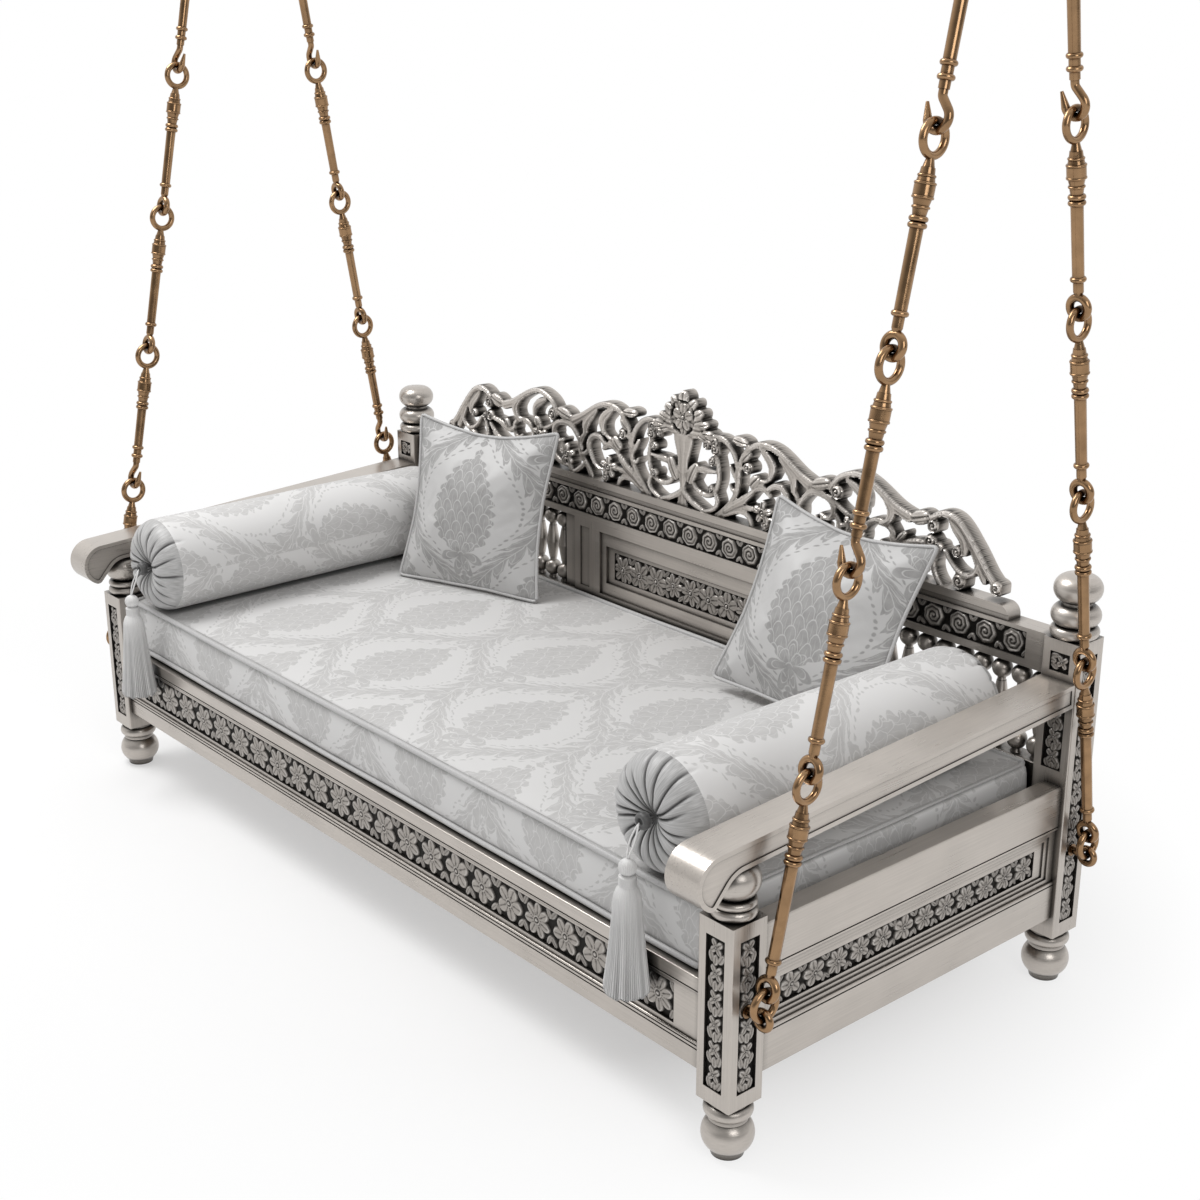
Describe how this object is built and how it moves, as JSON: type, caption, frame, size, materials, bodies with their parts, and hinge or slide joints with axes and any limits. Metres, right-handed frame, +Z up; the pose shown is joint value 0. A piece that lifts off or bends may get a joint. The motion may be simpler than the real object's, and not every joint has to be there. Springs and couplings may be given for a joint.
{
  "type": "swing bench",
  "caption": "Carved sofa bench hung from the ceiling on turned brass link chains, with a pierced scroll crest, mattress, bolsters, pillows and tassels.",
  "frame": {"origin": "on the ceiling plane, at the centre of the rectangle of the four bolt holes in the two ceiling brackets", "axes": "+X to the sitter's left along the bench (right as seen from the front), +Y from the front of the seat to its back, +Z up"},
  "size_m": [1.969, 0.8709, 2.34],
  "materials": {
    "carved_wood": "satin pewter-silver over carved hardwood",
    "plain_wood": "oiled plain boards",
    "antique_brass": "antique brass, brushed",
    "bronze": "plain bearing bronze",
    "steel": "zinc-plated steel",
    "upholstery": "woven damask cloth over foam",
    "button_cloth": "dark covered button",
    "tassel_silk": "silky threads"
  },
  "bodies": {
    "ceiling": {"ceiling_bracket_left": "antique_brass", "ceiling_bracket_right": "antique_brass", "axle_bolts": "steel", "axle_nuts": "steel"},
    "bench": {"arm_turning_left": "carved_wood", "arm_turning_right": "carved_wood", "armrest_left": "carved_wood", "armrest_right": "carved_wood", "back_board": "carved_wood", "back_frieze_rail": "carved_wood", "back_low_rail": "plain_wood", "back_panel": "carved_wood", "back_spindles_left": "carved_wood", "back_spindles_right": "carved_wood", "crest": "carved_wood", "crest_base": "carved_wood", "eye_bolts": "antique_brass", "finial_left": "carved_wood", "finial_right": "carved_wood", "front_foot_left": "carved_wood", "front_foot_right": "carved_wood", "front_low_rail": "carved_wood", "front_panel": "carved_wood", "front_post_left": "carved_wood", "front_post_right": "carved_wood", "front_top_rail": "carved_wood", "pilaster_left": "carved_wood", "pilaster_right": "carved_wood", "rear_foot_left": "carved_wood", "rear_foot_right": "carved_wood", "rear_post_left": "carved_wood", "rear_post_right": "carved_wood", "seat_bearers": "plain_wood", "seat_ledgers": "plain_wood", "seat_planks": "plain_wood", "side_low_rail_left": "carved_wood", "side_low_rail_right": "carved_wood", "side_panel_left": "carved_wood", "side_panel_right": "carved_wood", "side_top_rail_left": "carved_wood", "side_top_rail_right": "carved_wood"},
    "hanger_left_body": {"hanger_left": "antique_brass", "hanger_bush_left": "bronze"},
    "hanger_right_body": {"hanger_right": "antique_brass", "hanger_bush_right": "bronze"},
    "chains_left": {"chain_front_left": "antique_brass", "chain_back_left": "antique_brass"},
    "chains_right": {"chain_front_right": "antique_brass", "chain_back_right": "antique_brass"},
    "mattress_body": {"mattress": "upholstery"},
    "bolster_left_body": {"bolster_left": "upholstery", "bolster_button_left": "button_cloth"},
    "bolster_right_body": {"bolster_right": "upholstery", "bolster_button_right": "button_cloth"},
    "pillow_left_body": {"pillow_left": "upholstery"},
    "pillow_right_body": {"pillow_right": "upholstery"},
    "tassel_left_body": {"tassel_left": "tassel_silk", "tassel_cord_left": "tassel_silk"},
    "tassel_right_body": {"tassel_right": "tassel_silk", "tassel_cord_right": "tassel_silk"}
  },
  "joints": [
    {"name": "swing_fore_aft", "type": "hinge", "parent": "ceiling", "child": "hanger_left_body", "pos_m": [-0.945, 0, -0.042], "axis": [1, 0, 0], "range_deg": [-20, 20]},
    {"name": "swing_right_hanger", "type": "hinge", "parent": "ceiling", "child": "hanger_right_body", "pos_m": [0.945, 0, -0.042], "axis": [1, 0, 0], "range_deg": [-20, 20]},
    {"name": "sway_sideways", "type": "hinge", "parent": "hanger_left_body", "child": "chains_left", "pos_m": [-0.945, 0, -0.137], "axis": [0, 1, 0], "range_deg": [-2.5, 2.5]},
    {"name": "sway_right_chains", "type": "hinge", "parent": "hanger_right_body", "child": "chains_right", "pos_m": [0.945, 0, -0.137], "axis": [0, 1, 0], "range_deg": [-2.5, 2.5]},
    {"name": "bench_stays_level", "type": "hinge", "parent": "chains_left", "child": "bench", "pos_m": [-0.943, 0, -2.087], "axis": [0, 1, 0], "range_deg": [-2.5, 2.5]},
    {"name": "mattress_lift", "type": "slide", "parent": "bench", "child": "mattress_body", "axis": [0, 0, 1], "range_m": [0, 0.3]},
    {"name": "bolster_left_lift", "type": "slide", "parent": "mattress_body", "child": "bolster_left_body", "axis": [0, 0, 1], "range_m": [0, 0.3]},
    {"name": "bolster_right_lift", "type": "slide", "parent": "mattress_body", "child": "bolster_right_body", "axis": [0, 0, 1], "range_m": [0, 0.3]},
    {"name": "pillow_left_lift", "type": "slide", "parent": "mattress_body", "child": "pillow_left_body", "axis": [0, 0, 1], "range_m": [0, 0.3]},
    {"name": "pillow_right_lift", "type": "slide", "parent": "mattress_body", "child": "pillow_right_body", "axis": [0, 0, 1], "range_m": [0, 0.3]},
    {"name": "tassel_left_swing", "type": "hinge", "parent": "bolster_left_body", "child": "tassel_left_body", "pos_m": [-0.734, -0.45, -1.8714], "axis": [-1, 0, 0], "range_deg": [0, 60]},
    {"name": "tassel_right_swing", "type": "hinge", "parent": "bolster_right_body", "child": "tassel_right_body", "pos_m": [0.734, -0.45, -1.8714], "axis": [-1, 0, 0], "range_deg": [0, 60]}
  ],
  "couplings": [
    {"joint": "swing_right_hanger", "follows": "swing_fore_aft", "ratio": 1},
    {"joint": "sway_right_chains", "follows": "sway_sideways", "ratio": 1},
    {"joint": "bench_stays_level", "follows": "sway_sideways", "ratio": -1}
  ]
}
